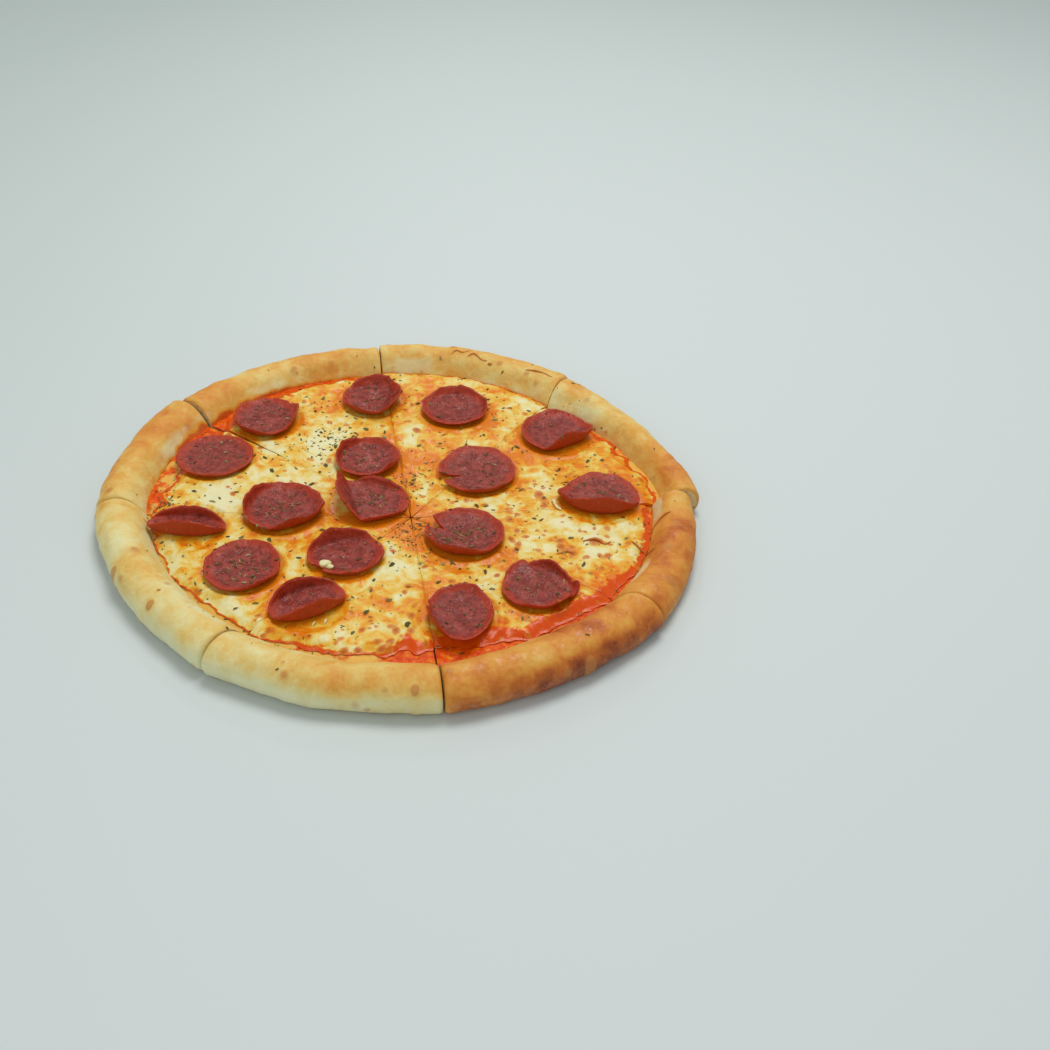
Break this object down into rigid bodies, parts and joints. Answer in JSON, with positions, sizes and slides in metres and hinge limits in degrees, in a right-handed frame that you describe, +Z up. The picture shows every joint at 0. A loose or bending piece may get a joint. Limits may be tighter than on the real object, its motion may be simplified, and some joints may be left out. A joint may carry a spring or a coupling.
{
  "type": "pepperoni pizza",
  "caption": "Round pepperoni pizza cut into slices that keep the whole shape, with raised rim, sauce, melted cheese and cupped, folded rounds of pepperoni",
  "frame": {"origin": "middle of the underside, on the surface the pizza lies on", "axes": "+Z up, -Y towards the eater, +X to the eater's right"},
  "size_m": [0.308, 0.301, 0.0222],
  "materials": {
    "dough": "baked, floury to golden",
    "sauce": "wet",
    "cheese": "melted, oily",
    "pepperoni": "oily"
  },
  "bodies": {
    "root": {"crust_1": "dough", "sauce_1": "sauce", "cheese_1": "cheese", "crust_2": "dough", "sauce_2": "sauce", "cheese_2": "cheese", "crust_3": "dough", "sauce_3": "sauce", "cheese_3": "cheese", "crust_4": "dough", "sauce_4": "sauce", "cheese_4": "cheese", "crust_5": "dough", "sauce_5": "sauce", "cheese_5": "cheese", "crust_6": "dough", "sauce_6": "sauce", "cheese_6": "cheese", "crust_7": "dough", "sauce_7": "sauce", "cheese_7": "cheese", "crust_8": "dough", "sauce_8": "sauce", "cheese_8": "cheese", "pepperoni_1": "pepperoni", "pepperoni_2": "pepperoni", "pepperoni_3": "pepperoni", "pepperoni_4": "pepperoni", "pepperoni_5": "pepperoni", "pepperoni_6": "pepperoni", "pepperoni_7": "pepperoni", "pepperoni_8": "pepperoni", "pepperoni_9": "pepperoni", "pepperoni_10": "pepperoni", "pepperoni_11": "pepperoni", "pepperoni_12": "pepperoni", "pepperoni_13": "pepperoni", "pepperoni_14": "pepperoni", "pepperoni_15": "pepperoni", "pepperoni_16": "pepperoni", "pepperoni_17": "pepperoni"}
  },
  "joints": []
}
